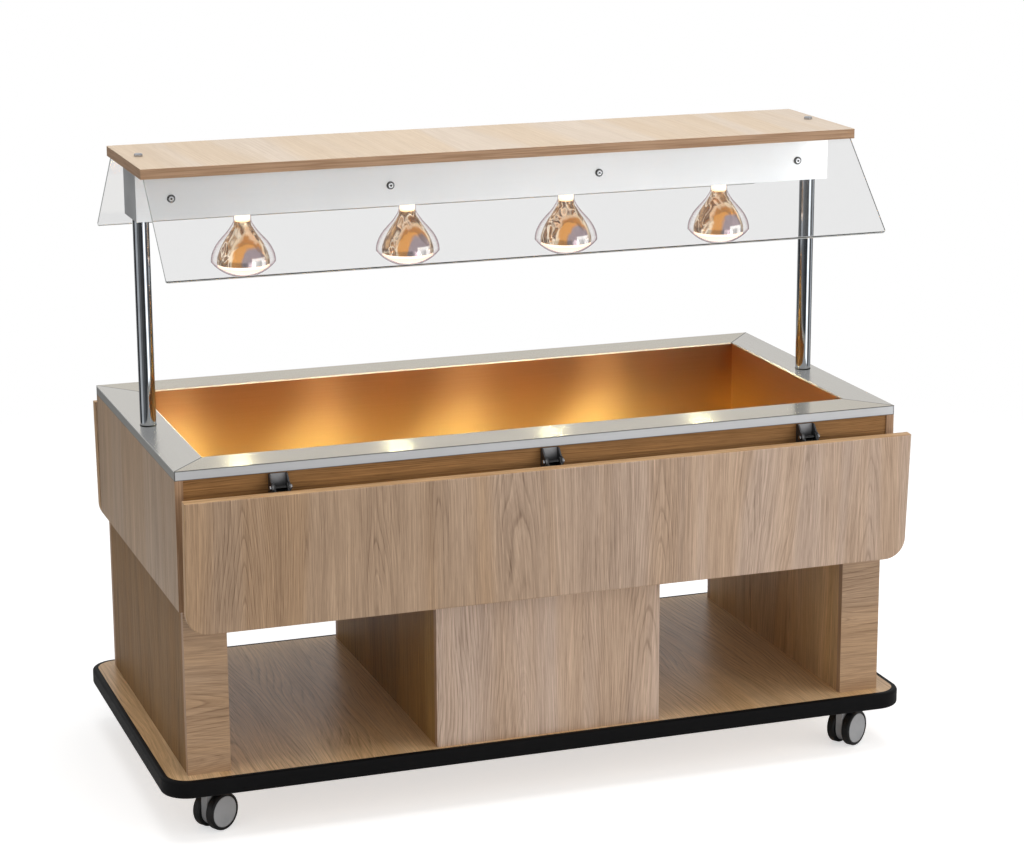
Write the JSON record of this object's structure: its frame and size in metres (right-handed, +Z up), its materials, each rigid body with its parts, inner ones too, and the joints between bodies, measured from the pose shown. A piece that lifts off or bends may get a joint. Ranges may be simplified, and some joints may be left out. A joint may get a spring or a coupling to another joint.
{
  "type": "buffet trolley",
  "caption": "Wheeled hot buffet trolley: heated well under a lamp canopy with slanted glass, open bays below and a folding tray flap along each side.",
  "frame": {"origin": "on the floor under the middle of the trolley", "axes": "+X along the length towards the control end, +Y towards the back, +Z up"},
  "size_m": [1.559, 0.8604, 1.279],
  "materials": {
    "oak_laminate": "satin oak-pattern laminate",
    "base_laminate": "satin oak-pattern laminate, darker",
    "core_board": "raw board",
    "bumper_rubber": "matt black",
    "stainless_steel": "brushed",
    "copper_lining": "copper-coloured, bright",
    "heater_sheath": "dull",
    "drain_brass": "nickel plated",
    "lever_coating": "dipped red coating",
    "black_plastic": "fine matt",
    "pilot_lens": "clear amber lens",
    "grey_plastic": "satin",
    "polished_chrome": "mirror",
    "zinc_steel": "bright zinc",
    "ceramic": "glazed",
    "lamp_glass": "mirrored reflector with a frosted glowing face",
    "clear_glass": "clear",
    "black_steel": "satin black",
    "black_tyre": "matt black"
  },
  "bodies": {
    "cabinet": {"pedestal_outer_panels": "oak_laminate", "pedestal_inner_panels": "oak_laminate", "pedestal_end_caps": "oak_laminate", "centre_face_panels": "oak_laminate", "centre_side_panels": "oak_laminate", "apron_long_boards": "oak_laminate", "apron_left_panel": "oak_laminate", "apron_right_panel": "oak_laminate", "canopy_board": "oak_laminate", "base_board": "base_laminate", "deck_board": "core_board", "rim_core_boards": "core_board", "base_bumper": "bumper_rubber", "rim_long_strips": "stainless_steel", "rim_end_strips": "stainless_steel", "lamp_bar": "stainless_steel", "control_plate": "stainless_steel", "tank_floor": "copper_lining", "tank_long_sides": "copper_lining", "tank_end_sides": "copper_lining", "heating_elements": "heater_sheath", "drain_pipe": "drain_brass", "drain_valve": "drain_brass", "thermostat": "black_plastic", "switch_bodies": "black_plastic", "pilot_lamp": "pilot_lens", "cable_gland": "grey_plastic", "canopy_posts": "polished_chrome", "canopy_cap_screws": "polished_chrome", "post_nuts": "zinc_steel", "lamp_bar_screws": "zinc_steel", "flap_pins": "zinc_steel", "lampholders": "ceramic", "heat_lamps": "lamp_glass", "front_glass": "clear_glass", "rear_glass": "clear_glass", "flap_brackets": "black_steel", "caster_plates": "zinc_steel"},
    "front_flap": {"front_flap_board": "oak_laminate", "front_flap_arms": "black_steel"},
    "rear_flap": {"rear_flap_board": "oak_laminate", "rear_flap_arms": "black_steel"},
    "front_stays": {"front_flap_stays": "black_steel"},
    "rear_stays": {"rear_flap_stays": "black_steel"},
    "drain_lever": {"drain_lever": "lever_coating"},
    "thermostat_knob": {"thermostat_knob": "black_plastic"},
    "heat_rocker": {"heat_rocker": "black_plastic"},
    "lamp_rocker": {"lamp_rocker": "black_plastic"},
    "caster_front_left": {"caster_hood_front_left": "grey_plastic"},
    "wheel_front_left_a": {"caster_wheel_front_left_a": "black_tyre"},
    "wheel_front_left_b": {"caster_wheel_front_left_b": "black_tyre"},
    "caster_front_right": {"caster_hood_front_right": "grey_plastic"},
    "wheel_front_right_a": {"caster_wheel_front_right_a": "black_tyre"},
    "wheel_front_right_b": {"caster_wheel_front_right_b": "black_tyre"},
    "caster_rear_left": {"caster_hood_rear_left": "grey_plastic"},
    "wheel_rear_left_a": {"caster_wheel_rear_left_a": "black_tyre"},
    "wheel_rear_left_b": {"caster_wheel_rear_left_b": "black_tyre"},
    "caster_rear_right": {"caster_hood_rear_right": "grey_plastic"},
    "wheel_rear_right_a": {"caster_wheel_rear_right_a": "black_tyre"},
    "wheel_rear_right_b": {"caster_wheel_rear_right_b": "black_tyre"}
  },
  "joints": [
    {"name": "front_flap_hinge", "type": "hinge", "parent": "cabinet", "child": "front_flap", "pos_m": [0, -0.3865, 0.696], "axis": [-1, 0, 0], "range_deg": [0, 93.5]},
    {"name": "front_stay_hinge", "type": "hinge", "parent": "cabinet", "child": "front_stays", "pos_m": [0, -0.3735, 0.658], "axis": [-1, 0, 0], "range_deg": [0, 107.92]},
    {"name": "rear_flap_hinge", "type": "hinge", "parent": "cabinet", "child": "rear_flap", "pos_m": [0, 0.3865, 0.696], "axis": [1, 0, 0], "range_deg": [0, 93.5]},
    {"name": "rear_stay_hinge", "type": "hinge", "parent": "cabinet", "child": "rear_stays", "pos_m": [0, 0.3735, 0.658], "axis": [1, 0, 0], "range_deg": [0, 107.92]},
    {"name": "thermostat_turn", "type": "hinge", "parent": "cabinet", "child": "thermostat_knob", "pos_m": [0.7415, 0.06, 0.6], "axis": [-1, 0, 0], "range_deg": [0, 270]},
    {"name": "heat_rocker_tilt", "type": "hinge", "parent": "cabinet", "child": "heat_rocker", "pos_m": [0.7415, -0.054, 0.6], "axis": [0, 1, 0], "range_deg": [0, 16]},
    {"name": "lamp_rocker_tilt", "type": "hinge", "parent": "cabinet", "child": "lamp_rocker", "pos_m": [0.7415, -0.01, 0.6], "axis": [0, 1, 0], "range_deg": [0, 16]},
    {"name": "drain_lever_turn", "type": "hinge", "parent": "cabinet", "child": "drain_lever", "pos_m": [0.281, 0, 0.443], "axis": [0, 0, 1], "range_deg": [0, 90]},
    {"name": "swivel_front_left", "type": "hinge", "parent": "cabinet", "child": "caster_front_left", "pos_m": [-0.677, -0.305, 0.099], "axis": [0, 0, 1], "continuous": true},
    {"name": "roll_front_left_a", "type": "hinge", "parent": "caster_front_left", "child": "wheel_front_left_a", "pos_m": [-0.66682, -0.29864, 0.0375], "axis": [0.5299, -0.848, 0], "continuous": true},
    {"name": "roll_front_left_b", "type": "hinge", "parent": "caster_front_left", "child": "wheel_front_left_b", "pos_m": [-0.66682, -0.29864, 0.0375], "axis": [0.5299, -0.848, 0], "continuous": true},
    {"name": "swivel_front_right", "type": "hinge", "parent": "cabinet", "child": "caster_front_right", "pos_m": [0.677, -0.305, 0.099], "axis": [0, 0, 1], "continuous": true},
    {"name": "roll_front_right_a", "type": "hinge", "parent": "caster_front_right", "child": "wheel_front_right_a", "pos_m": [0.68718, -0.29864, 0.0375], "axis": [0.5299, -0.848, 0], "continuous": true},
    {"name": "roll_front_right_b", "type": "hinge", "parent": "caster_front_right", "child": "wheel_front_right_b", "pos_m": [0.68718, -0.29864, 0.0375], "axis": [0.5299, -0.848, 0], "continuous": true},
    {"name": "swivel_rear_left", "type": "hinge", "parent": "cabinet", "child": "caster_rear_left", "pos_m": [-0.677, 0.305, 0.099], "axis": [0, 0, 1], "continuous": true},
    {"name": "roll_rear_left_a", "type": "hinge", "parent": "caster_rear_left", "child": "wheel_rear_left_a", "pos_m": [-0.66682, 0.31136, 0.0375], "axis": [0.5299, -0.848, 0], "continuous": true},
    {"name": "roll_rear_left_b", "type": "hinge", "parent": "caster_rear_left", "child": "wheel_rear_left_b", "pos_m": [-0.66682, 0.31136, 0.0375], "axis": [0.5299, -0.848, 0], "continuous": true},
    {"name": "swivel_rear_right", "type": "hinge", "parent": "cabinet", "child": "caster_rear_right", "pos_m": [0.677, 0.305, 0.099], "axis": [0, 0, 1], "continuous": true},
    {"name": "roll_rear_right_a", "type": "hinge", "parent": "caster_rear_right", "child": "wheel_rear_right_a", "pos_m": [0.68718, 0.31136, 0.0375], "axis": [0.5299, -0.848, 0], "continuous": true},
    {"name": "roll_rear_right_b", "type": "hinge", "parent": "caster_rear_right", "child": "wheel_rear_right_b", "pos_m": [0.68718, 0.31136, 0.0375], "axis": [0.5299, -0.848, 0], "continuous": true}
  ],
  "couplings": [
    {"joint": "front_stay_hinge", "follows": "front_flap_hinge", "ratio": 1.1541},
    {"joint": "rear_stay_hinge", "follows": "rear_flap_hinge", "ratio": 1.1541}
  ]
}
